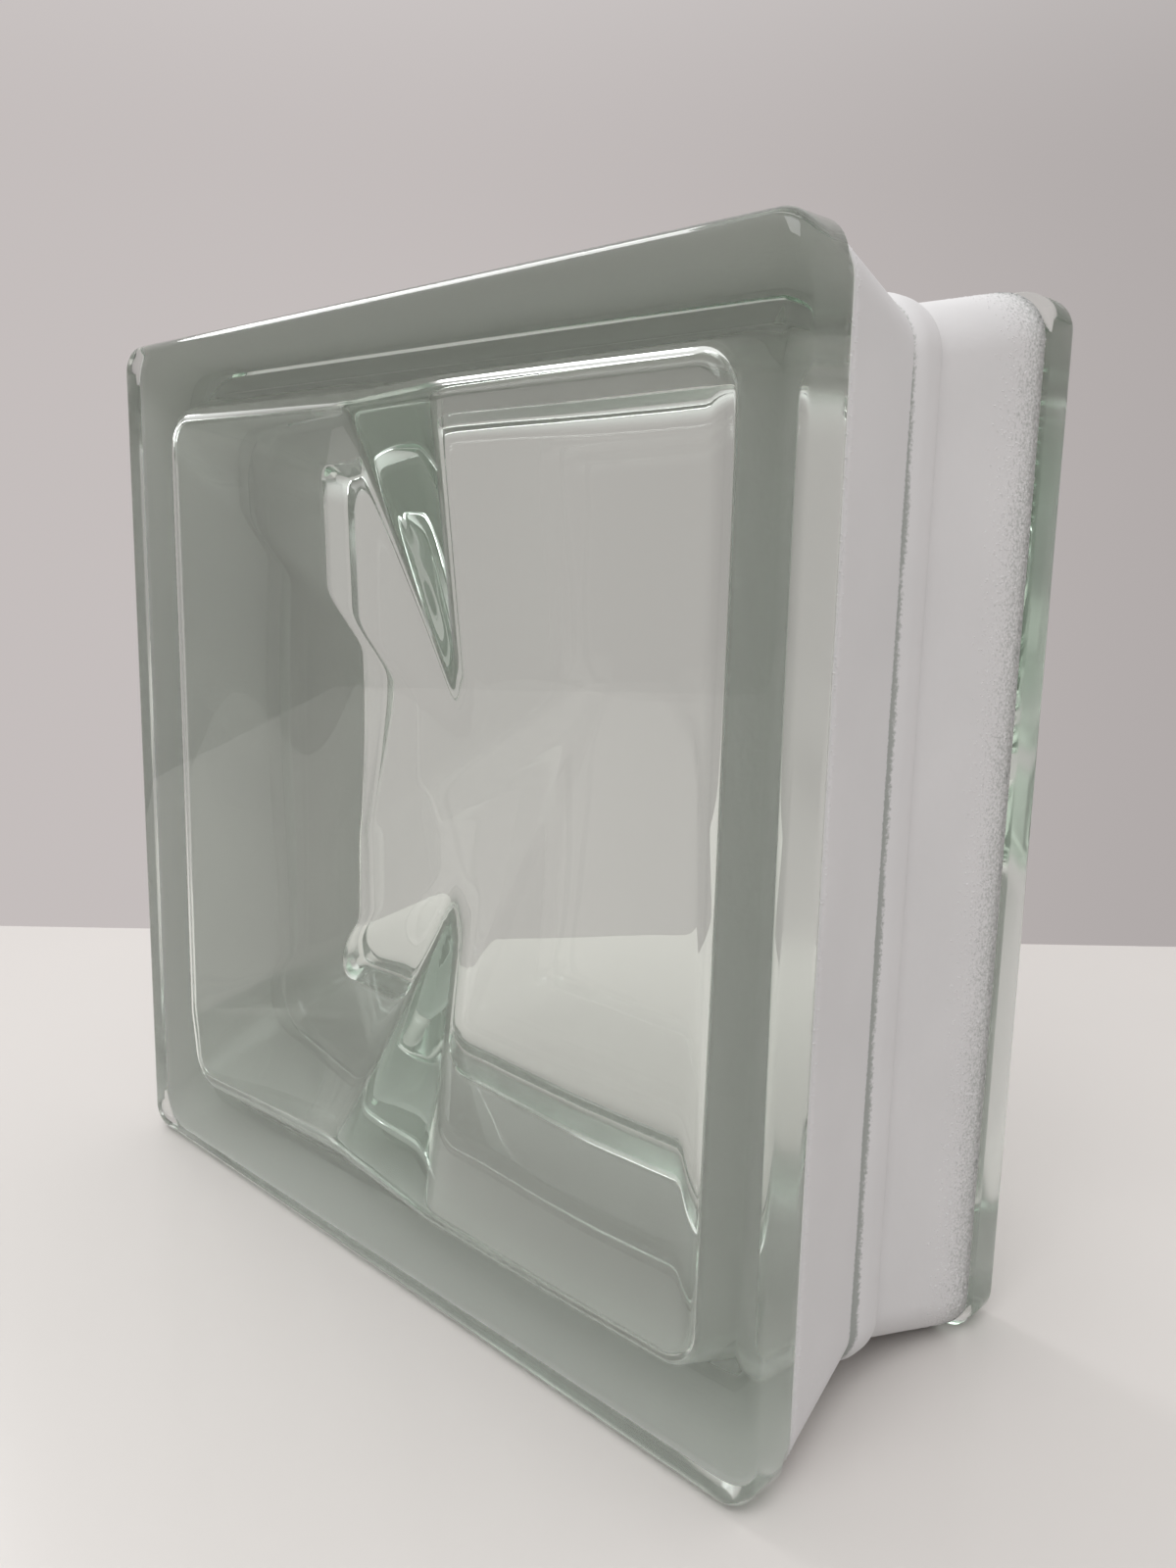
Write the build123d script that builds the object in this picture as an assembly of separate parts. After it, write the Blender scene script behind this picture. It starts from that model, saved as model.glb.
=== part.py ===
"""Hollow glass block for walls: two pressed halves fused rim to rim, white coated in the edge channel.

Millimetres, +Z up. The origin is the middle of the underside, and the front face looks towards -Y.
Both halves are the same square pressing: a face plate with a wave pressed into its inside, a flange
round its edge, and side walls that slope in from the flange to the seam. The rear half is the front
half turned over on the face's diagonal, so that the two waves cross. Between the two flanges the
slopes leave a channel on all four sides, which the mortar keys into.
"""
import math
import os

from build123d import *

# Overall size
FACE_SIZE = 190.0             # the square face, across and up
BLOCK_DEPTH = 80.0

# Outside of one half
FLANGE_LAND = 10.0            # flat edge of the flange, from the face to where the slope starts
FACE_EDGE_RADIUS = 3.0        # rounding between the face and the flange's edge
FLANGE_CORNER_RADIUS = 6.0    # corners of the face, seen from the front
CHANNEL_DEPTH = 5.5           # from the flange's edge down to the bottom of the channel
CHANNEL_FLOOR_WIDTH = 8.0     # bottom of the channel, across the seam
CHANNEL_CORNER_RADIUS = 8.5   # corners of the sloping side walls

# Bead of glass squeezed out along the fused seam
BEAD_HEIGHT = 1.2
BEAD_RADIUS = 4.0
BEAD_CREST_WIDTH = 2.0

# Inside of one half
FACE_THICKNESS = 8.5          # face plate, beside the ridge
RIM_THICKNESS = 4.5           # side wall at the seam
CAVITY_DRAFT_ANGLE = 9.0      # lean of the inner walls, in degrees, to free the pressing tool
CAVITY_CORNER_RADIUS = 12.0   # inner corners at the seam
CAVITY_FOOT_RADIUS = 4.0      # rounding where the inner walls meet the face plate

# Groove along the inside of the seam, where the slanted rims of the two halves meet
GROOVE_DEPTH = 3.3
GROOVE_WIDTH = 4.0

# Wave pressed into the inside of the face plate: a ridge of thicker glass, pinched to nothing
# near the middle, whose two arms spread and rise towards the upper and the lower wall
PINCH_X = 23.5
PINCH_Z = 100.0
PINCH_GAP = 24.0              # between the tips of the two arms
PINCH_LENGTH = 10.0           # how gently the arms bend away from the pinch
LEFT_SPREAD_SHARE = 2.0       # how far an arm's left foot moves out along its reach from the tip
RIGHT_SPREAD_SHARE = 0.17     # how far its right foot moves left along that reach
LEFT_SLOPE_SHARE = 0.115      # rise of its gentle left flank
RIGHT_SLOPE_SHARE = 0.28      # rise of its steep right flank
CREST_RADIUS = 12.0           # rounding of its crest
FOOT_STEP = 5.0               # between the points that its curved feet are drawn through

# White coating in the channel
COATING_THICKNESS = 0.3

# How far a cutting solid runs on
OVERRUN = 2.0

MIDDLE_HEIGHT = FACE_SIZE / 2
HALF_DEPTH = BLOCK_DEPTH / 2
SLOPE_START = HALF_DEPTH - FLANGE_LAND
SLOPE_END = CHANNEL_FLOOR_WIDTH / 2
SLOPE_ANGLE = math.degrees(math.atan2(CHANNEL_DEPTH, SLOPE_START - SLOPE_END))
BEAD_CORNER_RADIUS = CHANNEL_CORNER_RADIUS + BEAD_HEIGHT
RIM_INSET = CHANNEL_DEPTH + RIM_THICKNESS
FLOOR_Y = FACE_THICKNESS - HALF_DEPTH
COATING_EDGE = SLOPE_START - (SLOPE_START - SLOPE_END) * COATING_THICKNESS / CHANNEL_DEPTH


def section_plane(ahead):
    """Plane across the block, ahead of the seam, that looks to the front."""
    return Plane(origin=(0, -ahead, MIDDLE_HEIGHT), x_dir=(1, 0, 0), z_dir=(0, -1, 0))


def cross_section(ahead, inset, corner_radius):
    """Rounded square across the block, ahead of the seam and inset from the flange's edge."""
    size = FACE_SIZE - 2 * inset
    return section_plane(ahead) * RectangleRounded(size, size, corner_radius)


def side_walls(prism):
    """Walls of a prism that stands on a plane across the block."""
    return prism.faces() - prism.faces().filter_by(Axis.Y)


def foremost_edges(solid):
    """Edges of the face that looks straight out of the front."""
    return solid.faces().sort_by(Axis.Y)[0].edges()


def flange():
    """Face plate and flange as one slab, rounded along the face's edge."""
    slab = extrude(cross_section(SLOPE_START, 0, FLANGE_CORNER_RADIUS), amount=FLANGE_LAND)
    return fillet(foremost_edges(slab), FACE_EDGE_RADIUS)


def seam_bead(skin):
    """Front half of the rounded bead along the seam, under a skin of some thickness."""
    section = cross_section(0, CHANNEL_DEPTH - BEAD_HEIGHT - skin, BEAD_CORNER_RADIUS + skin)
    slab = extrude(section, amount=BEAD_CREST_WIDTH / 2 + BEAD_RADIUS + skin)
    return fillet(foremost_edges(slab), BEAD_RADIUS + skin)


def sloping_side(skin):
    """Body of one half between the flange and the seam, under a skin of some thickness."""
    size = FACE_SIZE - 2 * (CHANNEL_DEPTH - skin)
    foot = section_plane(SLOPE_END)
    prism = extrude(foot * Rectangle(size, size), amount=SLOPE_START - SLOPE_END)
    flared = draft(side_walls(prism), foot, -SLOPE_ANGLE)
    ends = flared.faces().sort_by(Axis.Y)
    corners = flared.edges() - ends[0].edges() - ends[-1].edges()
    slope = fillet(corners, CHANNEL_CORNER_RADIUS + skin)
    rim = extrude(slope.faces().sort_by(Axis.Y)[-1], amount=SLOPE_END)
    return slope + rim + seam_bead(skin)


def under_flank(spread_share, uphill):
    """Solid under one flank of the ridge: its feet bend away from the pinch, and it rises uphill."""
    rows = round(FACE_SIZE / FOOT_STEP)
    tip = math.hypot(PINCH_GAP / 2, PINCH_LENGTH)
    foot = []
    for row in range(rows + 1):
        z = FACE_SIZE * row / rows
        reach = math.hypot(z - PINCH_Z, PINCH_LENGTH) - tip
        foot.append(Vector(PINCH_X - spread_share * reach, FLOOR_Y, z))
    rise = uphill * FACE_SIZE
    lowest = Edge.make_spline([point - rise for point in foot])
    flank = Face.extrude(lowest, rise * 2)
    return extrude(flank, amount=BLOCK_DEPTH, dir=(0, -1, 0))


def ridge():
    """Solid under both flanks, rounded along the crest where they meet."""
    gentle = under_flank(LEFT_SPREAD_SHARE, Vector(1, LEFT_SLOPE_SHARE, 0))
    steep = under_flank(RIGHT_SPREAD_SHARE, Vector(-1, RIGHT_SLOPE_SHARE, 0))
    under_both = gentle & steep
    crest = under_both.edges().sort_by_distance((PINCH_X, FLOOR_Y, PINCH_Z))[0]
    return fillet(crest, CREST_RADIUS)


def seam_groove():
    """Front half of the groove at the seam, which narrows into the cavity past the inner walls."""
    lip = GROOVE_WIDTH / 2
    fall = GROOVE_DEPTH + lip * math.tan(math.radians(CAVITY_DRAFT_ANGLE))
    tip_inset = RIM_INSET - GROOVE_DEPTH
    tip_radius = CAVITY_CORNER_RADIUS + GROOVE_DEPTH
    tip = cross_section(0, tip_inset, tip_radius)
    inner = cross_section(2 * lip, tip_inset + 2 * fall, tip_radius - 2 * fall)
    return loft([tip, inner], ruled=True)


def cavity():
    """Hollow of one half: drafted walls with a rounded foot, less the ridge, and the seam's groove."""
    prism = extrude(cross_section(0, RIM_INSET, CAVITY_CORNER_RADIUS), amount=-FLOOR_Y)
    hollow = draft(side_walls(prism), Plane.XZ, CAVITY_DRAFT_ANGLE)
    rounded = fillet(foremost_edges(hollow), CAVITY_FOOT_RADIUS)
    return rounded - ridge() + seam_groove()


def glass_half():
    """One pressed half: face plate, flange and walls round the cavity."""
    return flange() + sloping_side(0) - cavity()


def coating_half():
    """Front half of the coating: a skin on the slope and the bead, that ends flush with the flange."""
    skin = sloping_side(COATING_THICKNESS) - sloping_side(0)
    reach = extrude(cross_section(0, -OVERRUN, FLANGE_CORNER_RADIUS), amount=COATING_EDGE)
    return skin & reach


def main():
    front_half = glass_half()
    diagonal = Axis((0, 0, MIDDLE_HEIGHT), (1, 0, 1))
    rear_half = front_half.rotate(diagonal, 180)
    front_coating = coating_half()
    edge_coating = front_coating + front_coating.rotate(Axis.Z, 180)
    os.makedirs("parts", exist_ok=True)
    export_step(front_half, "parts/front_half.step")
    export_step(rear_half, "parts/rear_half.step")
    export_step(edge_coating, "parts/edge_coating.step")


if __name__ == "__main__":
    main()
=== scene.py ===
"""Hollow glass block with a wavy inside and a white coated edge channel, as an add-on run as a script."""

import math

import bpy
from mathutils import Matrix, Vector


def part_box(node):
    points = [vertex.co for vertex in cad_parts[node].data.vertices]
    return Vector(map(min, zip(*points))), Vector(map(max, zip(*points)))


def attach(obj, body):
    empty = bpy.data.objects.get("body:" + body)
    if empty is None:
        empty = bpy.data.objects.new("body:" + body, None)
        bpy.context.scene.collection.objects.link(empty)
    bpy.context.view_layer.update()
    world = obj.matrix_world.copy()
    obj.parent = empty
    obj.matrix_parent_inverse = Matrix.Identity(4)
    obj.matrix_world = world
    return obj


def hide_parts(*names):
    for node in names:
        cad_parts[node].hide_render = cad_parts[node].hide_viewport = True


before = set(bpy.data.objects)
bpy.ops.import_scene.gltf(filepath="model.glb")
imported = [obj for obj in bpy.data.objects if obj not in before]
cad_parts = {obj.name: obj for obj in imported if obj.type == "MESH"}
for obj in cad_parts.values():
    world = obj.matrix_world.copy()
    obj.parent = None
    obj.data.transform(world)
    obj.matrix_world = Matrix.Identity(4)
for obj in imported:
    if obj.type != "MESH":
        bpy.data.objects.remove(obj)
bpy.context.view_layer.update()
FRONT_LOW, FRONT_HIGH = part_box("front_half")

bl_info = {
    "name": "Glass Block",
    "version": (1, 0, 0),
    "blender": (4, 5, 0),
    "location": "3D View > Sidebar > Glass Block",
    "description": "Builds a hollow glass block with pressed waves and a coated edge channel",
    "category": "Add Mesh",
}

MM = 0.001

# The block's box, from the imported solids
HALF_WIDTH = FRONT_HIGH.x
HALF_DEPTH = -FRONT_LOW.y
MIDDLE_HEIGHT = (FRONT_LOW.z + FRONT_HIGH.z) / 2

# Points of a ring round the block: along a straight side, and round a corner
OUTER_STEPS = (24, 16)
INNER_STEPS = (130, 14)
COATING_STEPS = (40, 16)

# Rings across the rounded and the straight stretches of the section
EDGE_STEPS = 8
FOOT_STEPS = 8
WALL_STEPS = 14
SLOPE_STEPS = 12
BEAD_STEPS = 6

# Rings close beside the edges of the flange's land and of the groove, which keep the smooth shading local
LAND_END = 0.4 * MM
GROOVE_SHARES = (0.06, 0.5, 0.94, 1.0)

# Angles in degrees: to the middle of the lower left corner, straight down, and between the two
LOWER_LEFT = 225
DOWN = 270
HALF_CORNER = 45

# Cosine and sine of the four quarter turns
QUARTER_TURNS = ((1, 0), (0, 1), (-1, 0), (0, -1))

# What a place along a ring may be off by from rounding
ROUND_OFF = 1e-9

# Attributes of a vertex: how far, and to which side, the waves press it, how thickly grit lies on it,
# and whether it is on the coating's side against the glass, which is painted lighter as painted light
PRESS = "press"
GRIT = "grit"
LIT_SIDE = "lit"


def linear(code):
    """An sRGB hex colour as linear red, green and blue."""
    channels = [int(code[i:i + 2], 16) / 255 for i in (1, 3, 5)]
    return [c / 12.92 if c <= 0.04045 else ((c + 0.055) / 1.055) ** 2.4 for c in channels]


class GlassSettings(bpy.types.PropertyGroup):
    """Sizes and finish of the fused glass."""

    tint: bpy.props.FloatVectorProperty(
        name="Tint", description="Colour that light takes on in thick glass",
        default=linear("#B2E8C6"), size=3, subtype="COLOR")
    tint_density: bpy.props.FloatProperty(
        name="Tint Density", description="How fast the tint grows with the light's way through the glass",
        default=2.5)
    flange_land: bpy.props.FloatProperty(
        name="Flange Land", description="Flat edge of each flange, from the face to the slope",
        default=10 * MM, unit="LENGTH")
    face_edge_radius: bpy.props.FloatProperty(
        name="Face Edge Radius", description="Rounding between a face and the flange's edge",
        default=3 * MM, unit="LENGTH")
    flange_corner_radius: bpy.props.FloatProperty(
        name="Flange Corner Radius", description="Corners of the face, seen from the front",
        default=6 * MM, unit="LENGTH")
    channel_depth: bpy.props.FloatProperty(
        name="Channel Depth", description="From the flange's edge down to the bottom of the channel",
        default=5.5 * MM, unit="LENGTH")
    channel_floor: bpy.props.FloatProperty(
        name="Channel Floor", description="Width of the channel's bottom, across the seam",
        default=8 * MM, unit="LENGTH")
    channel_corner_radius: bpy.props.FloatProperty(
        name="Channel Corner Radius", description="Corners of the sloping side walls",
        default=8.5 * MM, unit="LENGTH")
    bead_height: bpy.props.FloatProperty(
        name="Bead Height", description="Height of the bead along the seam",
        default=1.2 * MM, unit="LENGTH")
    bead_radius: bpy.props.FloatProperty(
        name="Bead Radius", description="Rounding of the bead along the seam",
        default=4 * MM, unit="LENGTH")
    bead_crest: bpy.props.FloatProperty(
        name="Bead Crest", description="Width of the bead's flat crest",
        default=2 * MM, unit="LENGTH")
    face_thickness: bpy.props.FloatProperty(
        name="Face Thickness", description="Thickness of a face plate, beside the ridge",
        default=8.5 * MM, unit="LENGTH")
    rim_thickness: bpy.props.FloatProperty(
        name="Rim Thickness", description="Side wall at the seam",
        default=4.5 * MM, unit="LENGTH")
    groove_depth: bpy.props.FloatProperty(
        name="Groove Depth", description="Groove along the inside of the seam, where the slanted rims meet",
        default=3.3 * MM, unit="LENGTH")
    groove_width: bpy.props.FloatProperty(
        name="Groove Width", description="Width of the groove along the inside of the seam",
        default=4 * MM, unit="LENGTH")
    cavity_draft: bpy.props.FloatProperty(
        name="Cavity Draft", description="Lean of the inner walls",
        default=math.radians(9.0), subtype="ANGLE")
    cavity_corner_radius: bpy.props.FloatProperty(
        name="Cavity Corner Radius", description="Inner corners at the seam",
        default=12 * MM, unit="LENGTH")
    cavity_foot_radius: bpy.props.FloatProperty(
        name="Cavity Foot Radius", description="Rounding where the inner walls meet a face plate",
        default=4 * MM, unit="LENGTH")
    swell_height: bpy.props.FloatProperty(
        name="Swell Height", description="Height of the low swell inside a face plate",
        default=0.2 * MM, unit="LENGTH")
    swell_length: bpy.props.FloatProperty(
        name="Swell Length", description="From crest to crest of the swell",
        default=64 * MM, unit="LENGTH")
    swell_waver: bpy.props.FloatProperty(
        name="Swell Waver", description="How far the swell's crests wander to the side",
        default=9 * MM, unit="LENGTH")
    swell_waver_length: bpy.props.FloatProperty(
        name="Swell Waver Length", description="Length of one wandering of the crests",
        default=150 * MM, unit="LENGTH")
    pinch_x: bpy.props.FloatProperty(
        name="Pinch X", description="Where the ridge is pinched to nothing, across the face",
        default=23.5 * MM, unit="LENGTH")
    pinch_z: bpy.props.FloatProperty(
        name="Pinch Z", description="Where the ridge is pinched to nothing, above the floor",
        default=100 * MM, unit="LENGTH")
    pinch_gap: bpy.props.FloatProperty(
        name="Pinch Gap", description="Between the tips of the ridge's upper and lower arm",
        default=24 * MM, unit="LENGTH")
    pinch_length: bpy.props.FloatProperty(
        name="Pinch Length", description="How gently the ridge's arms bend away from the pinch",
        default=10 * MM, unit="LENGTH")
    left_spread: bpy.props.FloatProperty(
        name="Left Spread", description="How far the ridge's gentle left foot moves out along its reach",
        default=2.0)
    right_spread: bpy.props.FloatProperty(
        name="Right Spread", description="How far the ridge's steep right foot moves out along its reach",
        default=0.17)
    left_slope: bpy.props.FloatProperty(
        name="Left Slope", description="Rise of the ridge's gentle left flank",
        default=0.115)
    right_slope: bpy.props.FloatProperty(
        name="Right Slope", description="Rise of the ridge's steep right flank",
        default=0.28)
    left_rounding: bpy.props.FloatProperty(
        name="Left Rounding", description="Height over which the ridge's gentle left foot is rounded",
        default=0.5 * MM, unit="LENGTH")
    right_rounding: bpy.props.FloatProperty(
        name="Right Rounding", description="Height over which the crest and steep right foot are rounded",
        default=2 * MM, unit="LENGTH")


class CoatingSettings(bpy.types.PropertyGroup):
    """Sizes and finish of the white coating in the edge channel."""

    # The outside is painted darker than the side against the glass: painted shade
    colour: bpy.props.FloatVectorProperty(
        name="Colour", description="Colour of the coating's dusty outside, where it lies thick",
        default=linear("#DFDFE0"), size=3, subtype="COLOR")
    # The side against the glass is painted lighter than the outside: painted light, for the light that
    # reaches it through the glass
    lit_colour: bpy.props.FloatVectorProperty(
        name="Clean Colour", description="Colour of the coating's clean side, against the glass",
        default=linear("#F4F4F1"), size=3, subtype="COLOR")
    thin_colour: bpy.props.FloatVectorProperty(
        name="Thin Colour", description="Colour where the glass shows through a thin coat",
        default=linear("#B4B7B5"), size=3, subtype="COLOR")
    # A darker colour along the crease at the front of the seam's bead, fading towards the top of the block
    crease_colour: bpy.props.FloatVectorProperty(
        name="Crease Colour", description="Colour of the worn line along the front of the seam's bead",
        default=linear("#A6AAA7"), size=3, subtype="COLOR")
    thickness: bpy.props.FloatProperty(
        name="Thickness", description="Thickness of the coating over the glass",
        default=0.3 * MM, unit="LENGTH")
    bite: bpy.props.FloatProperty(
        name="Bite", description="How far the coating keys into the skin of the glass",
        default=0.08 * MM, unit="LENGTH")
    front_edge: bpy.props.FloatProperty(
        name="Front Edge", description="Where the coating ends, ahead of the seam",
        default=28.4 * MM, unit="LENGTH")
    rear_edge: bpy.props.FloatProperty(
        name="Rear Edge", description="Where the coating ends, behind the seam",
        default=28 * MM, unit="LENGTH")
    thin_start: bpy.props.FloatProperty(
        name="Thin Start", description="Where the coating starts to thin out, behind the seam",
        default=17 * MM, unit="LENGTH")
    grit_width: bpy.props.FloatProperty(
        name="Grit Width", description="Width of the largest grains",
        default=0.7 * MM, unit="LENGTH")
    grit_height: bpy.props.FloatProperty(
        name="Grit Height", description="Height of the largest grains over the coating",
        default=0.16 * MM, unit="LENGTH")
    grit_spacing: bpy.props.FloatProperty(
        name="Grit Spacing", description="Mean distance between grains where they lie closest",
        default=0.85 * MM, unit="LENGTH")
    grit_seed: bpy.props.IntProperty(
        name="Grit Seed", description="Seed of the grains' places and sizes", default=4)


class StageSettings(bpy.types.PropertyGroup):
    """Floor, light and camera."""

    floor_colour: bpy.props.FloatVectorProperty(
        name="Floor Colour", description="Pale glossy floor",
        default=linear("#D6D3D0"), size=3, subtype="COLOR")
    wall_colour: bpy.props.FloatVectorProperty(
        name="Wall Colour", description="Light from the horizon, the colour of a pale wall",
        default=linear("#B0AAA9"), size=3, subtype="COLOR")
    ceiling_colour: bpy.props.FloatVectorProperty(
        name="Ceiling Colour", description="Light from overhead",
        default=linear("#EFEDEC"), size=3, subtype="COLOR")
    ceiling_light: bpy.props.FloatProperty(
        name="Ceiling Light", description="How many times brighter the ceiling is than its colour",
        default=1.1)
    side_power: bpy.props.FloatProperty(
        name="Side Power", description="Power of the lamp beside the block",
        default=10.0, unit="POWER")
    front_power: bpy.props.FloatProperty(
        name="Front Power", description="Power of the soft lamp above the front",
        default=13.0, unit="POWER")
    lens: bpy.props.FloatProperty(
        name="Lens", description="Focal length of the camera, in millimetres",
        default=28.75)


def add_node(tree, kind, links=(), **settings):
    """Adds a node with its settings, and feeds its inputs from sockets or plain values."""
    node = tree.nodes.new(kind)
    for name, value in settings.items():
        setattr(node, name, value)
    for key, value in (links.items() if isinstance(links, dict) else enumerate(links)):
        if isinstance(value, bpy.types.NodeSocket):
            tree.links.new(value, node.inputs[key])
        else:
            node.inputs[key].default_value = value
    return node


def new_material(name):
    """An empty node material and its node tree."""
    material = bpy.data.materials.new(name)
    material.use_nodes = True
    material.node_tree.nodes.clear()
    return material, material.node_tree


def rounded_square(half, radius, steps):
    """Points round a rounded square, counted from the middle of its lower left corner."""
    side_steps, corner_steps = steps
    core = half - radius
    half_corner = corner_steps // 2
    side = []
    for step in range(half_corner):
        angle = math.radians(LOWER_LEFT + HALF_CORNER * step / half_corner)
        side.append((radius * math.cos(angle) - core, radius * math.sin(angle) - core))
    for step in range(side_steps):
        side.append((core * (2 * step / side_steps - 1), -half))
    for step in range(half_corner):
        angle = math.radians(DOWN + HALF_CORNER * step / half_corner)
        side.append((radius * math.cos(angle) + core, radius * math.sin(angle) - core))
    points = []
    for cos, sin in QUARTER_TURNS:
        points += [(u * cos - v * sin, u * sin + v * cos) for u, v in side]
    return points


class Shell:
    """Vertices and faces of rings laid one after the other, with a filled plate at either end."""

    def __init__(self, steps):
        self.steps = steps
        self.vertices = []
        self.faces = []
        self.weights = []

    def ring(self, half, radius, y, weight=0.0):
        """Adds a ring round the block and returns the numbers of its vertices."""
        start = len(self.vertices)
        for u, v in rounded_square(half, radius, self.steps):
            self.vertices.append((u, y, MIDDLE_HEIGHT + v))
            self.weights.append(weight)
        return list(range(start, len(self.vertices)))

    def bridge(self, first, second):
        """Joins two rings with a band of faces."""
        count = len(first)
        for k in range(count):
            after = (k + 1) % count
            self.faces.append((first[k], first[after], second[after], second[k]))

    def plate(self, rim, weight):
        """Faces that fill a ring with a grid, whose lines follow the ring's shape down to the middle."""
        count = len(rim) // 4
        grid = {}
        for column in range(count + 1):
            for row in range(count + 1):
                u = 2 * column / count - 1
                v = 2 * row / count - 1
                grid[column, row] = self.plate_vertex(rim, u, v, weight)
        made = []
        for column in range(count):
            for row in range(count):
                made.append((grid[column, row], grid[column + 1, row],
                             grid[column + 1, row + 1], grid[column, row + 1]))
        return made

    def plate_vertex(self, rim, u, v, weight):
        """The vertex of a plate at a place of the unit square, on the rim or inside it."""
        size = max(abs(u), abs(v))
        if size == 0:
            along = 0
        elif -v == size:
            along = (u / size + 1) / 2
        elif u == size:
            along = 1 + (v / size + 1) / 2
        elif v == size:
            along = 2 + (1 - u / size) / 2
        else:
            along = 3 + (1 - v / size) / 2
        place = along * len(rim) / 4
        low = int(place + ROUND_OFF)
        if size == 1:
            return rim[round(place) % len(rim)]
        first = Vector(self.vertices[rim[low % len(rim)]])
        second = Vector(self.vertices[rim[(low + 1) % len(rim)]])
        middle = Vector((0.0, first.y, MIDDLE_HEIGHT))
        spot = first.lerp(second, place - low)
        self.vertices.append(tuple(middle.lerp(spot, size)))
        self.weights.append(weight)
        return len(self.vertices) - 1

    def close(self, rings, weight):
        """Fills the first and the last ring, with all faces looking inwards."""
        self.faces += [face[::-1] for face in self.plate(rings[0], weight)]
        self.faces += self.plate(rings[-1], -weight)


def outer_section(glass):
    """Half sizes, corner radii and distances from the seam of the outer section, down to the seam."""
    radius = glass.face_edge_radius
    section = []
    for step in range(EDGE_STEPS + 1):
        angle = math.pi / 2 * step / EDGE_STEPS
        rise = radius * math.sin(angle)
        section.append((HALF_WIDTH - radius + rise, glass.flange_corner_radius - radius + rise,
                        HALF_DEPTH - radius + radius * math.cos(angle)))
    slope_start = HALF_DEPTH - glass.flange_land
    section.append((HALF_WIDTH, glass.flange_corner_radius, slope_start + LAND_END))
    return section + channel_section(glass, 0.0, slope_start)


def slope_place(glass, distance, skin):
    """Half size and corner radius of the channel's slope at a distance from the seam."""
    start = HALF_DEPTH - glass.flange_land
    end = glass.channel_floor / 2
    share = (start - distance) / (start - end)
    half = HALF_WIDTH - glass.channel_depth * share + skin
    return half, glass.channel_corner_radius + skin, distance


def bead_place(glass, angle, skin):
    """Half size, corner radius and distance from the seam of a place on the bead."""
    floor = HALF_WIDTH - glass.channel_depth
    sink = glass.bead_radius - glass.bead_height
    radius = glass.bead_radius + skin
    half = floor - sink + radius * math.cos(angle)
    return half, glass.channel_corner_radius + half - floor, glass.bead_crest / 2 + radius * math.sin(angle)


def channel_section(glass, skin, edge):
    """Section of the slope and the bead, from an edge down to the seam, under a skin of some thickness."""
    end = glass.channel_floor / 2
    section = []
    for step in range(SLOPE_STEPS + 1):
        section.append(slope_place(glass, edge + (end - edge) * step / SLOPE_STEPS, skin))
    foot = math.acos((glass.bead_radius - glass.bead_height + skin) / (glass.bead_radius + skin))
    for step in range(BEAD_STEPS + 1):
        section.append(bead_place(glass, foot * (1 - step / BEAD_STEPS), skin))
    return section


def inner_section(glass):
    """Half sizes, corner radii, distances from the seam and press of the inner section."""
    draft = glass.cavity_draft
    radius = glass.cavity_foot_radius
    mouth = HALF_WIDTH - glass.channel_depth - glass.rim_thickness
    floor = HALF_DEPTH - glass.face_thickness
    centre_distance = floor - radius
    along = (centre_distance + radius * math.sin(draft)) / math.cos(draft)
    centre_half = mouth - along * math.sin(draft) - radius * math.cos(draft)
    section = []
    for step in range(FOOT_STEPS + 1):
        angle = -math.pi / 2 + (math.pi / 2 - draft) * step / FOOT_STEPS
        half = centre_half + radius * math.cos(angle)
        section.append((half, centre_distance - radius * math.sin(angle), 1.0))
    _, top_distance, _ = section[-1]
    lip = glass.groove_width / 2
    for step in range(1, WALL_STEPS + 1):
        share = step / WALL_STEPS
        distance = top_distance + (lip - top_distance) * share
        section.append((mouth - distance * math.tan(draft), distance, (1 - share) ** 2))
    lip_half = section[-1][0]
    for share in GROOVE_SHARES:
        section.append((lip_half + (mouth + glass.groove_depth - lip_half) * share, lip * (1 - share), 0.0))
    corner_core = glass.cavity_corner_radius - mouth
    return [(half, corner_core + half, distance, press) for half, distance, press in section]


def shell_between(section, steps):
    """Rings of a half section and of its mirror image behind the seam, joined into an open shell."""
    shell = Shell(steps)
    rings = []
    for half, radius, distance, press in section:
        rings.append(shell.ring(half, radius, -distance, press))
    behind = section if section[-1][2] > 0 else section[:-1]
    for half, radius, distance, press in reversed(behind):
        rings.append(shell.ring(half, radius, distance, -press))
    for first, second in zip(rings, rings[1:]):
        shell.bridge(first, second)
    return shell, rings


def mesh_object(name, vertices, faces):
    """A smooth-shaded mesh object in the scene."""
    mesh = bpy.data.meshes.new(name)
    mesh.from_pydata(vertices, [], faces)
    mesh.polygons.foreach_set("use_smooth", [True] * len(mesh.polygons))
    mesh.update()
    piece = bpy.data.objects.new(name, mesh)
    bpy.context.scene.collection.objects.link(piece)
    return piece


def weigh(piece, name, weights):
    """Gives each vertex of a piece a number of its own."""
    piece.data.attributes.new(name, "FLOAT", "POINT").data.foreach_set("value", weights)


def applied(piece):
    """Turns a piece's modifiers into plain mesh."""
    graph = bpy.context.evaluated_depsgraph_get()
    made = bpy.data.meshes.new_from_object(piece.evaluated_get(graph))
    piece.modifiers.clear()
    old = piece.data
    piece.data = made
    bpy.data.meshes.remove(old)


# The settings that the node groups take as inputs
GRIT_SIZES = ("grit_width", "grit_height", "grit_spacing")
WAVE_SIZES = (
    "swell_height", "swell_length", "swell_waver", "swell_waver_length",
    "pinch_x", "pinch_z", "pinch_gap", "pinch_length",
    "left_spread", "right_spread", "left_slope", "right_slope", "left_rounding", "right_rounding",
)

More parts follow.
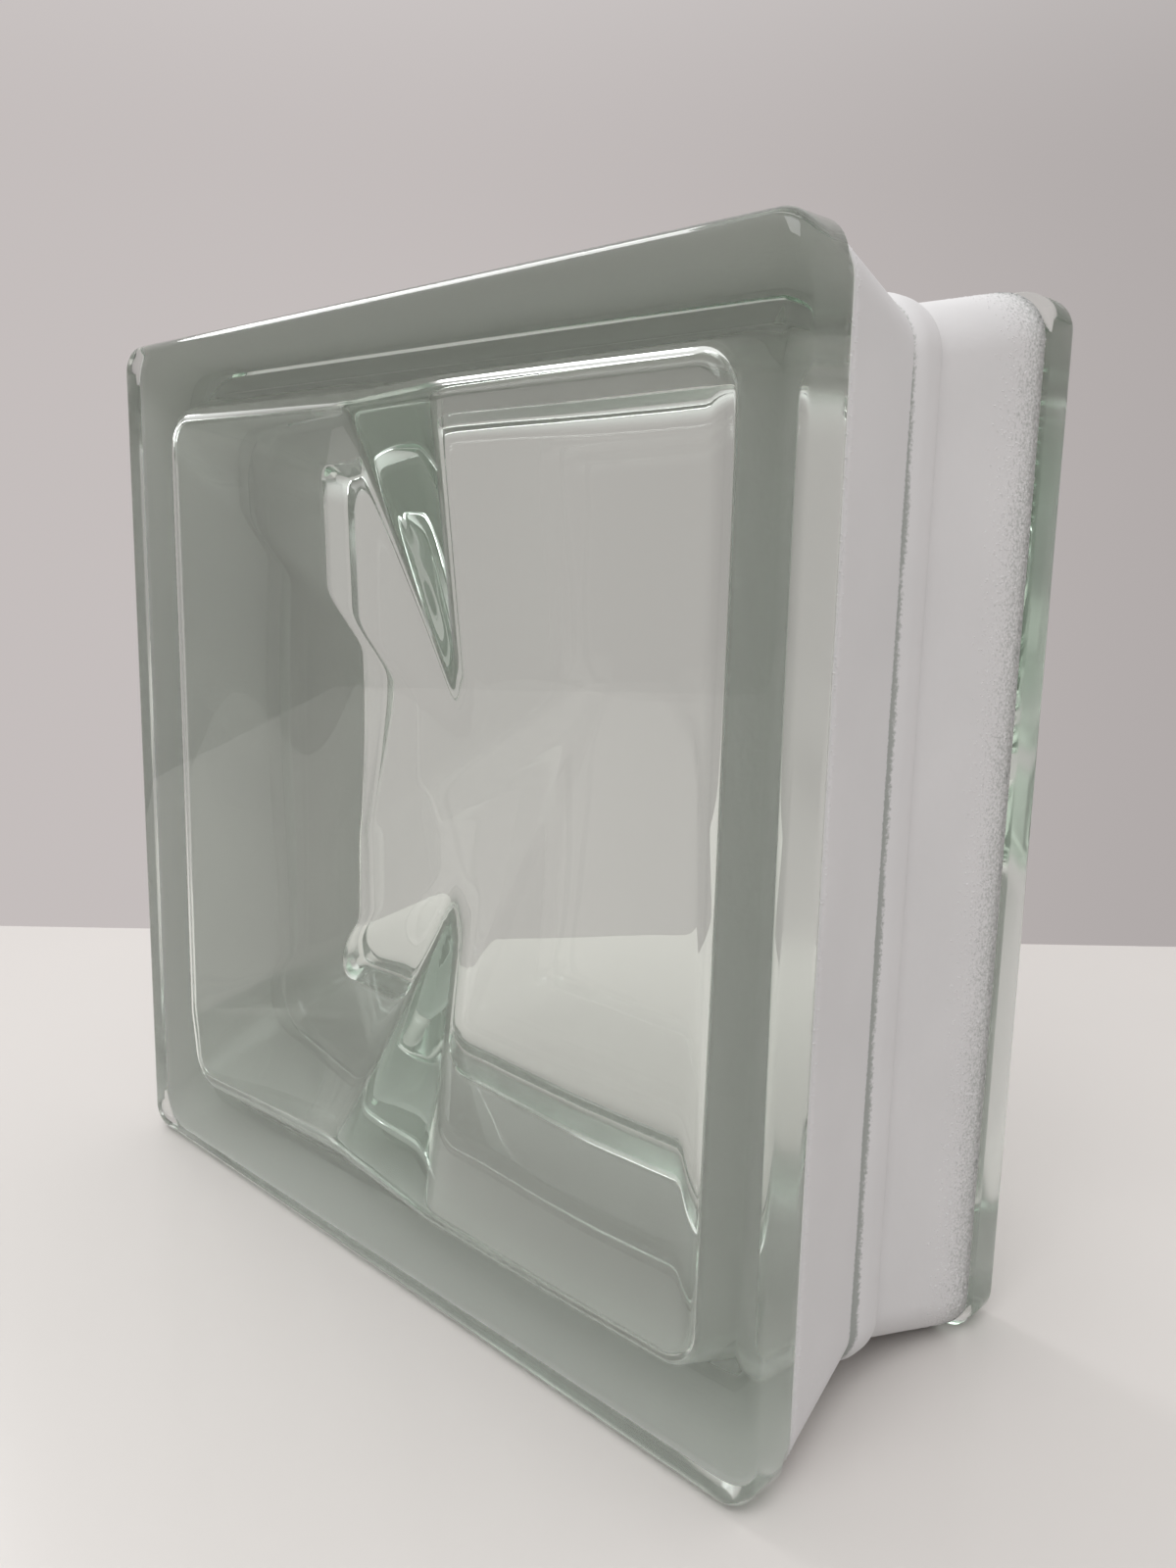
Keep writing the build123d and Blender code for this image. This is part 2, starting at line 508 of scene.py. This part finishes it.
# The waves' height, one sum a line: its name, what is done, and the values it takes
WAVE_SUMS = (
    ("is_front", "GREATER_THAN", "press", 0.0),
    ("z_from_middle", "SUBTRACT", "z", "middle_height"),
    ("x_from_low", "ADD", "x", "middle_height"),
    ("across_turn", "SUBTRACT", "x", "z_from_middle"),
    ("across", "MULTIPLY_ADD", "is_front", "across_turn", "z_from_middle"),
    ("up_turn", "SUBTRACT", "z", "x_from_low"),
    ("up", "MULTIPLY_ADD", "is_front", "up_turn", "x_from_low"),
    ("waver_turns", "DIVIDE", "up", "swell_waver_length"),
    ("waver_angle", "MULTIPLY", "waver_turns", 2 * math.pi),
    ("waver_sine", "SINE", "waver_angle"),
    ("waver", "MULTIPLY", "waver_sine", "swell_waver"),
    ("swell_place", "ADD", "across", "waver"),
    ("swell_turns", "DIVIDE", "swell_place", "swell_length"),
    ("swell_angle", "MULTIPLY", "swell_turns", 2 * math.pi),
    ("swell_sine", "SINE", "swell_angle"),
    ("swell", "MULTIPLY", "swell_sine", "swell_height"),
    ("from_pinch", "SUBTRACT", "up", "pinch_z"),
    ("from_pinch_squared", "MULTIPLY", "from_pinch", "from_pinch"),
    ("pinch_squared", "MULTIPLY", "pinch_length", "pinch_length"),
    ("reach_squared", "ADD", "from_pinch_squared", "pinch_squared"),
    ("reach_from_start", "SQRT", "reach_squared"),
    ("half_gap", "MULTIPLY", "pinch_gap", 0.5),
    ("half_gap_squared", "MULTIPLY", "half_gap", "half_gap"),
    ("tip_squared", "ADD", "half_gap_squared", "pinch_squared"),
    ("tip", "SQRT", "tip_squared"),
    ("reach", "SUBTRACT", "reach_from_start", "tip"),
    ("left_reach", "MULTIPLY", "reach", "left_spread"),
    ("left_foot", "SUBTRACT", "pinch_x", "left_reach"),
    ("from_left_foot", "SUBTRACT", "across", "left_foot"),
    ("left_flank", "MULTIPLY", "from_left_foot", "left_slope"),
    ("right_reach", "MULTIPLY", "reach", "right_spread"),
    ("right_foot", "SUBTRACT", "pinch_x", "right_reach"),
    ("from_right_foot", "SUBTRACT", "right_foot", "across"),
    ("right_flank", "MULTIPLY", "from_right_foot", "right_slope"),
    ("crest", "SMOOTH_MIN", "left_flank", "right_flank", "right_rounding"),
    ("past_crest", "SUBTRACT", "left_flank", "right_flank"),
    ("past_crest_share", "DIVIDE", "past_crest", "right_rounding"),
    ("past_crest_high", "MINIMUM", "past_crest_share", 1.0),
    ("past_crest_low", "MAXIMUM", "past_crest_high", 0.0),
    ("more_rounding", "SUBTRACT", "right_rounding", "left_rounding"),
    ("rounding", "MULTIPLY_ADD", "past_crest_low", "more_rounding", "left_rounding"),
    ("ridge", "SMOOTH_MAX", "crest", 0.0, "rounding"),
    ("height", "ADD", "swell", "ridge"),
    ("shift", "MULTIPLY", "height", "press"),
)


def pressed_waves():
    """Node group that presses the waves into the inside of both face plates."""
    tree = bpy.data.node_groups.new("Pressed waves", "GeometryNodeTree")
    tree.interface.new_socket("Geometry", in_out="INPUT", socket_type="NodeSocketGeometry")
    for size in WAVE_SIZES:
        tree.interface.new_socket(size, in_out="INPUT", socket_type="NodeSocketFloat")
    tree.interface.new_socket("Glass", in_out="INPUT", socket_type="NodeSocketMaterial")
    tree.interface.new_socket("Geometry", in_out="OUTPUT", socket_type="NodeSocketGeometry")
    given = add_node(tree, "NodeGroupInput")
    position = add_node(tree, "GeometryNodeInputPosition")
    place = add_node(tree, "ShaderNodeSeparateXYZ", [position.outputs[0]])
    press = add_node(tree, "GeometryNodeInputNamedAttribute", {"Name": PRESS}, data_type="FLOAT")
    values = {size: given.outputs[size] for size in WAVE_SIZES}
    values |= {"x": place.outputs["X"], "z": place.outputs["Z"], "press": press.outputs[0]}
    values["middle_height"] = MIDDLE_HEIGHT
    for name, operation, *takes in WAVE_SUMS:
        fed = [values[take] if isinstance(take, str) else take for take in takes]
        values[name] = add_node(tree, "ShaderNodeMath", fed, operation=operation).outputs[0]
    offset = add_node(tree, "ShaderNodeCombineXYZ", {"Y": values["shift"]})
    moved = add_node(tree, "GeometryNodeSetPosition", {
        "Geometry": given.outputs["Geometry"], "Offset": offset.outputs[0]})
    whole = add_node(tree, "GeometryNodeRealizeInstances", [moved.outputs[0]])
    glazed = add_node(tree, "GeometryNodeSetMaterial", {
        "Geometry": whole.outputs[0], "Material": given.outputs["Glass"]})
    add_node(tree, "NodeGroupOutput", [glazed.outputs[0]])
    return tree


# A grain: its sides and rings, and its least and greatest size as shares of the largest one's
GRAIN_SIDES = 4
GRAIN_RINGS = 2
GRAIN_LEAST_SHARES = (0.15, 0.15, 0.4)
GRAIN_MOST_SHARES = (0.5, 0.5, 1.0)


def scattered_grit():
    """Node group that strews flat grains over a coating, most where its grit attribute is high."""
    tree = bpy.data.node_groups.new("Scattered grit", "GeometryNodeTree")
    tree.interface.new_socket("Geometry", in_out="INPUT", socket_type="NodeSocketGeometry")
    for size in GRIT_SIZES:
        tree.interface.new_socket(size, in_out="INPUT", socket_type="NodeSocketFloat")
    tree.interface.new_socket("grit_seed", in_out="INPUT", socket_type="NodeSocketInt")
    tree.interface.new_socket("Coating", in_out="INPUT", socket_type="NodeSocketMaterial")
    tree.interface.new_socket("Geometry", in_out="OUTPUT", socket_type="NodeSocketGeometry")
    given = add_node(tree, "NodeGroupInput")
    coat = given.outputs["Geometry"]
    width, height, spacing = (given.outputs[size] for size in GRIT_SIZES)
    seed = given.outputs["grit_seed"]
    thickness = add_node(tree, "GeometryNodeInputNamedAttribute", {"Name": GRIT}, data_type="FLOAT")
    cell = add_node(tree, "ShaderNodeMath", [spacing, spacing], operation="MULTIPLY")
    density = add_node(tree, "ShaderNodeMath", [thickness.outputs[0], cell.outputs[0]], operation="DIVIDE")
    points = add_node(tree, "GeometryNodeDistributePointsOnFaces", {
        "Mesh": coat, "Density": density.outputs[0], "Seed": seed})
    grain = add_node(tree, "GeometryNodeMeshUVSphere", {
        "Segments": GRAIN_SIDES, "Rings": GRAIN_RINGS, "Radius": 1.0})
    largest = add_node(tree, "ShaderNodeCombineXYZ", [width, width, height])
    share = add_node(tree, "FunctionNodeRandomValue", {
        "Min": GRAIN_LEAST_SHARES, "Max": GRAIN_MOST_SHARES, "Seed": seed}, data_type="FLOAT_VECTOR")
    scale = add_node(tree, "ShaderNodeVectorMath", [largest.outputs[0], share.outputs[0]],
                     operation="MULTIPLY")
    spin = add_node(tree, "FunctionNodeRandomValue", {
        "Min": (0, 0, 0), "Max": (0, 0, 2 * math.pi), "Seed": seed}, data_type="FLOAT_VECTOR")
    turn = add_node(tree, "FunctionNodeEulerToRotation", [spin.outputs[0]])
    laid = add_node(tree, "FunctionNodeRotateRotation", [points.outputs["Rotation"], turn.outputs[0]],
                    rotation_space="LOCAL")
    strewn = add_node(tree, "GeometryNodeInstanceOnPoints", {
        "Points": points.outputs["Points"], "Instance": grain.outputs["Mesh"], "Rotation": laid.outputs[0],
        "Scale": scale.outputs[0]})
    joined = add_node(tree, "GeometryNodeJoinGeometry", [coat])
    tree.links.new(strewn.outputs[0], joined.inputs[0])
    whole = add_node(tree, "GeometryNodeRealizeInstances", [joined.outputs[0]])
    coated = add_node(tree, "GeometryNodeSetMaterial", {
        "Geometry": whole.outputs[0], "Material": given.outputs["Coating"]})
    add_node(tree, "NodeGroupOutput", [coated.outputs[0]])
    return tree


def add_nodes_modifier(piece, tree, values):
    """Puts a node group on a piece as a modifier, with its inputs set by their identifiers."""
    modifier = piece.modifiers.new(tree.name, "NODES")
    modifier.node_group = tree
    for item in tree.interface.items_tree:
        if item.in_out == "INPUT" and item.name in values:
            modifier[item.identifier] = values[item.name]


# The glass: its colour and refraction, the slow ripples of its polish, and the roughness of the
# flange's lands, where the pressing tool parts, with the depth over which it begins
GLASS_COLOUR = linear("#F9FBF9")
GLASS_IOR = 1.52
RIPPLE = 14 * MM
RIPPLE_DETAIL = 1.0
RIPPLE_HEIGHT = 0.01 * MM
LAND_ROUGHNESS = 0.2
DULL_DEPTH = 0.3 * MM


def pressed_glass(glass):
    """Clear soda-lime glass, pressed and fire-polished: bright, with slow ripples in its reflections, dull
    on the flange's lands, and with a grey-green tint where light goes a long way through it."""
    material, tree = new_material("soda-lime glass, pressed")
    place = add_node(tree, "ShaderNodeTexCoord").outputs["Object"]
    ripple = add_node(tree, "ShaderNodeTexNoise", {
        "Vector": place, "Scale": 1 / RIPPLE, "Detail": RIPPLE_DETAIL})
    bump = add_node(tree, "ShaderNodeBump", {
        "Height": ripple.outputs[0], "Strength": 1.0, "Distance": RIPPLE_HEIGHT})
    axes = add_node(tree, "ShaderNodeSeparateXYZ", [place])
    across = add_node(tree, "ShaderNodeMath", [axes.outputs["X"]], operation="ABSOLUTE")
    up = add_node(tree, "ShaderNodeMath", [axes.outputs["Z"], MIDDLE_HEIGHT], operation="SUBTRACT")
    from_middle = add_node(tree, "ShaderNodeMath", [up.outputs[0]], operation="ABSOLUTE")
    sides = [across.outputs[0], from_middle.outputs[0]]
    outward = add_node(tree, "ShaderNodeMath", sides, operation="MAXIMUM")
    dull = add_node(tree, "ShaderNodeMapRange", {
        "Value": outward.outputs[0], "From Min": HALF_WIDTH - DULL_DEPTH, "From Max": HALF_WIDTH,
        "To Max": LAND_ROUGHNESS})
    surface = add_node(tree, "ShaderNodeBsdfPrincipled", {
        "Base Color": (*GLASS_COLOUR, 1.0), "Roughness": dull.outputs[0], "IOR": GLASS_IOR,
        "Transmission Weight": 1.0, "Normal": bump.outputs[0]})
    tint = add_node(tree, "ShaderNodeVolumeAbsorption", {
        "Color": (*glass.tint, 1.0), "Density": glass.tint_density})
    add_node(tree, "ShaderNodeOutputMaterial", {"Surface": surface.outputs[0], "Volume": tint.outputs[0]})
    return material


# The coating's patterns: clouds and the shades they give it, mottle, and the orange peel of its skin
CLOUD = 30 * MM
CLOUD_RANGE = (0.3, 0.7)
CLOUD_SHADES = (0.94, 1.0)
MOTTLE = 0.5 * MM
MOTTLE_DETAIL = 3.0
PEEL = 1.6 * MM
PEEL_HEIGHT = 0.05 * MM
COATING_ROUGHNESS = 0.7

# What the thin rear edge adds to the mottle, and the range of the sum over which the glass comes to show
THIN_GAIN = 0.5
BARE_RANGE = (0.75, 1.05)

# The darkened line along the crease: how far it reaches to either side, what it adds to the mottle and the
# clouds in its middle and takes off beside it, between which heights it fades and by how much, and the
# range of the sum over which the darker colour comes to show
CREASE_WIDTH = 2.0 * MM
CREASE_GAIN = 0.75
CREASE_HEIGHTS = (150 * MM, 195 * MM)
CREASE_FADE = 0.6
DARKENED_RANGE = (1.15, 1.5)


def sprayed_coating(glass, coating):
    """White edge coating, sprayed on: matt with an orange-peel skin, cloudy, mottled where it thins out
    behind the seam, and darker along the crease at the front of the seam's bead. Its side against the glass
    is painted lighter, as painted light, and its outside darker, as painted shade."""
    material, tree = new_material("edge coating, sprayed white")
    place = add_node(tree, "ShaderNodeTexCoord").outputs["Object"]
    axes = add_node(tree, "ShaderNodeSeparateXYZ", [place])
    cloud = add_node(tree, "ShaderNodeTexNoise", {"Vector": place, "Scale": 1 / CLOUD})
    mottle = add_node(tree, "ShaderNodeTexNoise", {
        "Vector": place, "Scale": 1 / MOTTLE, "Detail": MOTTLE_DETAIL})
    peel = add_node(tree, "ShaderNodeTexNoise", {"Vector": place, "Scale": 1 / PEEL})
    thin = add_node(tree, "ShaderNodeMapRange", {
        "Value": axes.outputs["Y"], "From Min": coating.thin_start, "From Max": coating.rear_edge,
        "To Max": THIN_GAIN})
    bare = add_node(tree, "ShaderNodeMath", [thin.outputs[0], mottle.outputs[0]], operation="ADD")
    bare_sharp = add_node(tree, "ShaderNodeMapRange", {
        "Value": bare.outputs[0], "From Min": BARE_RANGE[0], "From Max": BARE_RANGE[1]})
    ahead_of_crease = [axes.outputs["Y"], glass.channel_floor / 2]
    off_crease = add_node(tree, "ShaderNodeMath", ahead_of_crease, operation="ADD")
    from_crease = add_node(tree, "ShaderNodeMath", [off_crease.outputs[0]], operation="ABSOLUTE")
    crease = add_node(tree, "ShaderNodeMapRange", {
        "Value": from_crease.outputs[0], "From Max": CREASE_WIDTH, "To Min": CREASE_GAIN,
        "To Max": -CREASE_GAIN})
    height_fade = add_node(tree, "ShaderNodeMapRange", {
        "Value": axes.outputs["Z"], "From Min": CREASE_HEIGHTS[0], "From Max": CREASE_HEIGHTS[1],
        "To Max": CREASE_FADE})
    faded_crease = add_node(tree, "ShaderNodeMath", [crease.outputs[0], height_fade.outputs[0]], operation="SUBTRACT")
    darkened = add_node(tree, "ShaderNodeMath", [faded_crease.outputs[0], mottle.outputs[0]], operation="ADD")
    darkened_cloud = add_node(tree, "ShaderNodeMath", [darkened.outputs[0], cloud.outputs[0]], operation="ADD")
    darkened_sharp = add_node(tree, "ShaderNodeMapRange", {
        "Value": darkened_cloud.outputs[0], "From Min": DARKENED_RANGE[0], "From Max": DARKENED_RANGE[1]})
    shade = add_node(tree, "ShaderNodeMapRange", {
        "Value": cloud.outputs[0], "From Min": CLOUD_RANGE[0], "From Max": CLOUD_RANGE[1],
        "To Min": CLOUD_SHADES[0], "To Max": CLOUD_SHADES[1]})
    white = add_node(tree, "ShaderNodeVectorMath", {0: tuple(coating.colour), "Scale": shade.outputs[0]},
                     operation="SCALE")
    patchy = add_node(tree, "ShaderNodeMix", {
        "Factor": bare_sharp.outputs[0], "A": white.outputs[0], "B": (*coating.thin_colour, 1.0)},
        data_type="RGBA")
    shaded = add_node(tree, "ShaderNodeMix", {
        "Factor": darkened_sharp.outputs[0], "A": patchy.outputs["Result"], "B": (*coating.crease_colour, 1.0)},
        data_type="RGBA")
    # Painted light and shade: the side against the glass takes the lighter colour, the outside the darker
    # one
    lit = add_node(tree, "ShaderNodeAttribute", attribute_name=LIT_SIDE)
    colour = add_node(tree, "ShaderNodeMix", {
        "Factor": lit.outputs["Fac"], "A": shaded.outputs["Result"], "B": (*coating.lit_colour, 1.0)},
        data_type="RGBA")
    bump = add_node(tree, "ShaderNodeBump", {
        "Height": peel.outputs[0], "Strength": 1.0, "Distance": PEEL_HEIGHT})
    surface = add_node(tree, "ShaderNodeBsdfPrincipled", {
        "Base Color": colour.outputs["Result"], "Roughness": COATING_ROUGHNESS, "Normal": bump.outputs[0]})
    add_node(tree, "ShaderNodeOutputMaterial", {"Surface": surface.outputs[0]})
    return material


# The floor's slow change of shade, and its gloss
FLOOR_CLOUD = 200 * MM
FLOOR_SHADES = (0.97, 1.03)
FLOOR_ROUGHNESS = 0.2
FLOOR_SPECULAR = 0.2


def glossy_floor(stage):
    """Pale lacquered board: nearly even in colour, with a soft gloss that mirrors what stands on it."""
    material, tree = new_material("lacquered board, pale")
    place = add_node(tree, "ShaderNodeTexCoord").outputs["Object"]
    cloud = add_node(tree, "ShaderNodeTexNoise", {"Vector": place, "Scale": 1 / FLOOR_CLOUD})
    shade = add_node(tree, "ShaderNodeMapRange", {
        "Value": cloud.outputs[0], "To Min": FLOOR_SHADES[0], "To Max": FLOOR_SHADES[1]})
    colour = add_node(tree, "ShaderNodeVectorMath", {
        0: tuple(stage.floor_colour), "Scale": shade.outputs[0]}, operation="SCALE")
    surface = add_node(tree, "ShaderNodeBsdfPrincipled", {
        "Base Color": colour.outputs[0], "Roughness": FLOOR_ROUGHNESS,
        "Specular IOR Level": FLOOR_SPECULAR})
    add_node(tree, "ShaderNodeOutputMaterial", {"Surface": surface.outputs[0]})
    return material


class GLASSBLOCK_OT_fused_glass(bpy.types.Operator):
    """Build the two pressed halves as one fused body of glass round its sealed cavity"""

    bl_idname = "glassblock.fused_glass"
    bl_label = "Fused Glass"

    def execute(self, context):
        glass = context.scene.glass_block_glass
        outside = [(*place, 0.0) for place in outer_section(glass)]
        outer, outer_rings = shell_between(outside, OUTER_STEPS)
        outer.close(outer_rings, 0.0)
        inner, inner_rings = shell_between(inner_section(glass), INNER_STEPS)
        inner.close(inner_rings, 1.0)
        start = len(outer.vertices)
        vertices = outer.vertices + inner.vertices
        faces = [face[::-1] for face in outer.faces]
        faces += [tuple(start + k for k in face) for face in inner.faces]
        piece = mesh_object("fused_glass", vertices, faces)
        weigh(piece, PRESS, outer.weights + inner.weights)
        values = {size: getattr(glass, size) for size in WAVE_SIZES}
        add_nodes_modifier(piece, pressed_waves(), values | {"Glass": pressed_glass(glass)})
        applied(piece)
        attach(piece, "root")
        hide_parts("front_half", "rear_half")
        return {"FINISHED"}


# How far the grit reaches in from the coating's front edge, and over what length it grows behind the seam
FRONT_GRIT = 2 * MM
REAR_GRIT_RISE = 4 * MM


def coating_rings(shell, glass, coating, skin, gritty):
    """Rings of one side of the coating from its front to its rear edge, with grit where it lies thin."""
    rings = []
    for half, radius, distance in channel_section(glass, skin, coating.front_edge):
        thin = (distance - coating.front_edge + FRONT_GRIT) / FRONT_GRIT
        rings.append(shell.ring(half, radius, -distance, max(0.0, thin) if gritty else 0.0))
    for half, radius, distance in reversed(channel_section(glass, skin, coating.rear_edge)):
        thin = (distance - coating.thin_start) / REAR_GRIT_RISE
        rings.append(shell.ring(half, radius, distance, min(1.0, max(0.0, thin)) if gritty else 0.0))
    return rings


class GLASSBLOCK_OT_edge_coating(bpy.types.Operator):
    """Build the white coating in the channel, with the grit that lies on it where it thins out"""

    bl_idname = "glassblock.edge_coating"
    bl_label = "Edge Coating"

    def execute(self, context):
        glass = context.scene.glass_block_glass
        coating = context.scene.glass_block_coating
        shell = Shell(COATING_STEPS)
        over = coating_rings(shell, glass, coating, coating.thickness, True)
        under = coating_rings(shell, glass, coating, -coating.bite, False)
        for first, second in zip(over, over[1:]):
            shell.bridge(second, first)
        for first, second in zip(under, under[1:]):
            shell.bridge(first, second)
        shell.bridge(over[0], under[0])
        shell.bridge(under[-1], over[-1])
        piece = mesh_object("white_coating", shell.vertices, shell.faces)
        weigh(piece, GRIT, shell.weights)
        # Marks the vertices of the side against the glass, which the coating's material paints lighter as
        # painted light
        weigh(piece, LIT_SIDE, [float(vertex >= under[0][0]) for vertex in range(len(shell.vertices))])
        values = {size: getattr(coating, size) for size in GRIT_SIZES}
        values |= {"grit_seed": coating.grit_seed, "Coating": sprayed_coating(glass, coating)}
        add_nodes_modifier(piece, scattered_grit(), values)
        applied(piece)
        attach(piece, "root")
        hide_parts("edge_coating")
        return {"FINISHED"}


# Two places of the floor's far edge, how far the floor runs, and the film of air between it and the glass
AIR_FILM = 0.05 * MM
FLOOR_EDGE = (Vector((-0.2895, 0.0018, -AIR_FILM)), Vector((0.025, 0.319, -AIR_FILM)))
FLOOR_REACH = 1.2


def add_floor(stage):
    """Pale floor that ends along a straight edge behind the block."""
    first, second = FLOOR_EDGE
    along = (second - first).normalized()
    toward = Vector((along.y, -along.x, 0.0))
    middle = (first + second) / 2
    corners = [middle - along * FLOOR_REACH, middle - along * FLOOR_REACH + toward * 2 * FLOOR_REACH,
               middle + along * FLOOR_REACH + toward * 2 * FLOOR_REACH, middle + along * FLOOR_REACH]
    floor = mesh_object("floor", [tuple(corner) for corner in corners], [(0, 1, 2, 3)])
    floor.data.materials.append(glossy_floor(stage))


# Where the wall is brightest, over what range of the way there and by how much; how dark the room is in
# front of the block, and over what range of the way there; and between which heights the ceiling's light
# begins, all on a sphere of radius 1 round the block
BRIGHT_SIDE = (-0.97, 0.26, 0.0)
BRIGHT_RANGE = (0.5, 1.0)
BRIGHT_GAIN = 1.28
FRONT_SHADE = 0.72
FRONT_RANGE = (-0.6, 0.2)
CEILING_HEIGHTS = (0.25, 0.8)


def add_world(scene, stage):
    """Even light from all round: a pale wall, brighter to the left and darker in front, and a ceiling."""
    world = bpy.data.worlds.new("soft room")
    scene.world = world
    world.use_nodes = True
    tree = world.node_tree
    tree.nodes.clear()
    place = add_node(tree, "ShaderNodeTexCoord").outputs["Generated"]
    axes = add_node(tree, "ShaderNodeSeparateXYZ", [place])
    side = add_node(tree, "ShaderNodeVectorMath", [place, BRIGHT_SIDE], operation="DOT_PRODUCT")
    bright = add_node(tree, "ShaderNodeMapRange", {
        "Value": side.outputs["Value"], "From Min": BRIGHT_RANGE[0], "From Max": BRIGHT_RANGE[1],
        "To Min": 1.0, "To Max": BRIGHT_GAIN}, interpolation_type="SMOOTHSTEP")
    front = add_node(tree, "ShaderNodeMapRange", {
        "Value": axes.outputs["Y"], "From Min": FRONT_RANGE[0], "From Max": FRONT_RANGE[1],
        "To Min": FRONT_SHADE, "To Max": 1.0}, interpolation_type="SMOOTHSTEP")
    level = add_node(tree, "ShaderNodeMath", [bright.outputs[0], front.outputs[0]], operation="MULTIPLY")
    wall = add_node(tree, "ShaderNodeVectorMath", {
        0: tuple(stage.wall_colour), "Scale": level.outputs[0]}, operation="SCALE")
    climb = add_node(tree, "ShaderNodeMapRange", {
        "Value": axes.outputs["Z"], "From Min": CEILING_HEIGHTS[0], "From Max": CEILING_HEIGHTS[1]},
        interpolation_type="SMOOTHSTEP")
    ceiling = [channel * stage.ceiling_light for channel in stage.ceiling_colour]
    colour = add_node(tree, "ShaderNodeMix", {
        "Factor": climb.outputs[0], "A": wall.outputs[0], "B": (*ceiling, 1.0)}, data_type="RGBA")
    back = add_node(tree, "ShaderNodeBackground", {"Color": colour.outputs["Result"]})
    add_node(tree, "ShaderNodeOutputWorld", [back.outputs[0]])


# The lamps: their places, lengths and widths, and where they point
SIDE_LAMP = (Vector((-1.5, 0.0, 1.45)), 0.8, 0.85)
FRONT_LAMP = (Vector((0.3, -1.1, 1.5)), 1.2, 1.2)
LAMP_TARGET = Vector((0.0, 0.0, 0.1))


def add_lamp(scene, name, shape, power):
    """A soft rectangular lamp that points at the block."""
    place, length, width = shape
    lamp = bpy.data.lights.new(name, "AREA")
    lamp.shape = "RECTANGLE"
    lamp.size = length
    lamp.size_y = width
    lamp.energy = power
    holder = bpy.data.objects.new(name, lamp)
    holder.rotation_euler = (LAMP_TARGET - place).to_track_quat("-Z", "Y").to_euler()
    holder.location = place
    scene.collection.objects.link(holder)


# The camera's place and turns, and the nearest that it sees
CAMERA_PLACE = Vector((0.19370, -0.17737, 0.14433))
CAMERA_YAW = math.radians(44.536)
CAMERA_PITCH = math.radians(10.165)
CAMERA_ROLL = math.radians(-1.231)
CAMERA_NEAREST = 10 * MM


def add_camera(scene, stage):
    """Camera at the photograph's place, angle and focal length."""
    forward = Vector((-math.sin(CAMERA_YAW) * math.cos(CAMERA_PITCH),
                      math.cos(CAMERA_YAW) * math.cos(CAMERA_PITCH), -math.sin(CAMERA_PITCH)))
    right = Vector((math.cos(CAMERA_YAW), math.sin(CAMERA_YAW), 0.0))
    down = forward.cross(right)
    cos, sin = math.cos(CAMERA_ROLL), math.sin(CAMERA_ROLL)
    right, down = cos * right + sin * down, cos * down - sin * right
    camera = bpy.data.cameras.new("camera")
    camera.lens = stage.lens
    camera.clip_start = CAMERA_NEAREST
    holder = bpy.data.objects.new("camera", camera)
    axes = Matrix((right, -down, -forward)).transposed().to_4x4()
    holder.matrix_world = Matrix.Translation(CAMERA_PLACE) @ axes
    scene.collection.objects.link(holder)
    scene.camera = holder


# How often light may bounce: often, because the glass guides it from side to side
BOUNCES = {
    "max_bounces": 40,
    "glossy_bounces": 24,
    "diffuse_bounces": 6,
    "transmission_bounces": 32,
    "transparent_max_bounces": 24,
}


class GLASSBLOCK_OT_stage(bpy.types.Operator):
    """Lay the floor, light the block and set the camera at the photograph's place"""

    bl_idname = "glassblock.stage"
    bl_label = "Stage"

    def execute(self, context):
        scene = context.scene
        stage = scene.glass_block_stage
        add_floor(stage)
        add_world(scene, stage)
        add_lamp(scene, "side lamp", SIDE_LAMP, stage.side_power)
        add_lamp(scene, "front lamp", FRONT_LAMP, stage.front_power)
        add_camera(scene, stage)
        scene.view_settings.view_transform = "Standard"
        for name, count in BOUNCES.items():
            setattr(scene.cycles, name, count)
        return {"FINISHED"}


class GLASSBLOCK_PT_panel(bpy.types.Panel):
    """Sidebar panel with the block's sizes and one button for each piece"""

    bl_idname = "GLASSBLOCK_PT_panel"
    bl_label = "Glass Block"
    bl_space_type = "VIEW_3D"
    bl_region_type = "UI"
    bl_category = "Glass Block"

    def draw(self, context):
        layout = self.layout
        for settings in (context.scene.glass_block_glass, context.scene.glass_block_coating,
                         context.scene.glass_block_stage):
            box = layout.box()
            for name in settings.__annotations__:
                box.prop(settings, name)
        for operator in PIECES:
            layout.operator(operator.bl_idname)


PIECES = (GLASSBLOCK_OT_fused_glass, GLASSBLOCK_OT_edge_coating, GLASSBLOCK_OT_stage)
SETTINGS = {
    "glass_block_glass": GlassSettings,
    "glass_block_coating": CoatingSettings,
    "glass_block_stage": StageSettings,
}


def register():
    for group in SETTINGS.values():
        bpy.utils.register_class(group)
    for name, group in SETTINGS.items():
        setattr(bpy.types.Scene, name, bpy.props.PointerProperty(type=group))
    for operator in PIECES:
        bpy.utils.register_class(operator)
    bpy.utils.register_class(GLASSBLOCK_PT_panel)


def unregister():
    bpy.utils.unregister_class(GLASSBLOCK_PT_panel)
    for operator in reversed(PIECES):
        bpy.utils.unregister_class(operator)
    for name, group in SETTINGS.items():
        delattr(bpy.types.Scene, name)
        bpy.utils.unregister_class(group)


def main():
    register()
    bpy.ops.glassblock.fused_glass()
    bpy.ops.glassblock.edge_coating()
    bpy.ops.glassblock.stage()


if __name__ == "__main__":
    main()
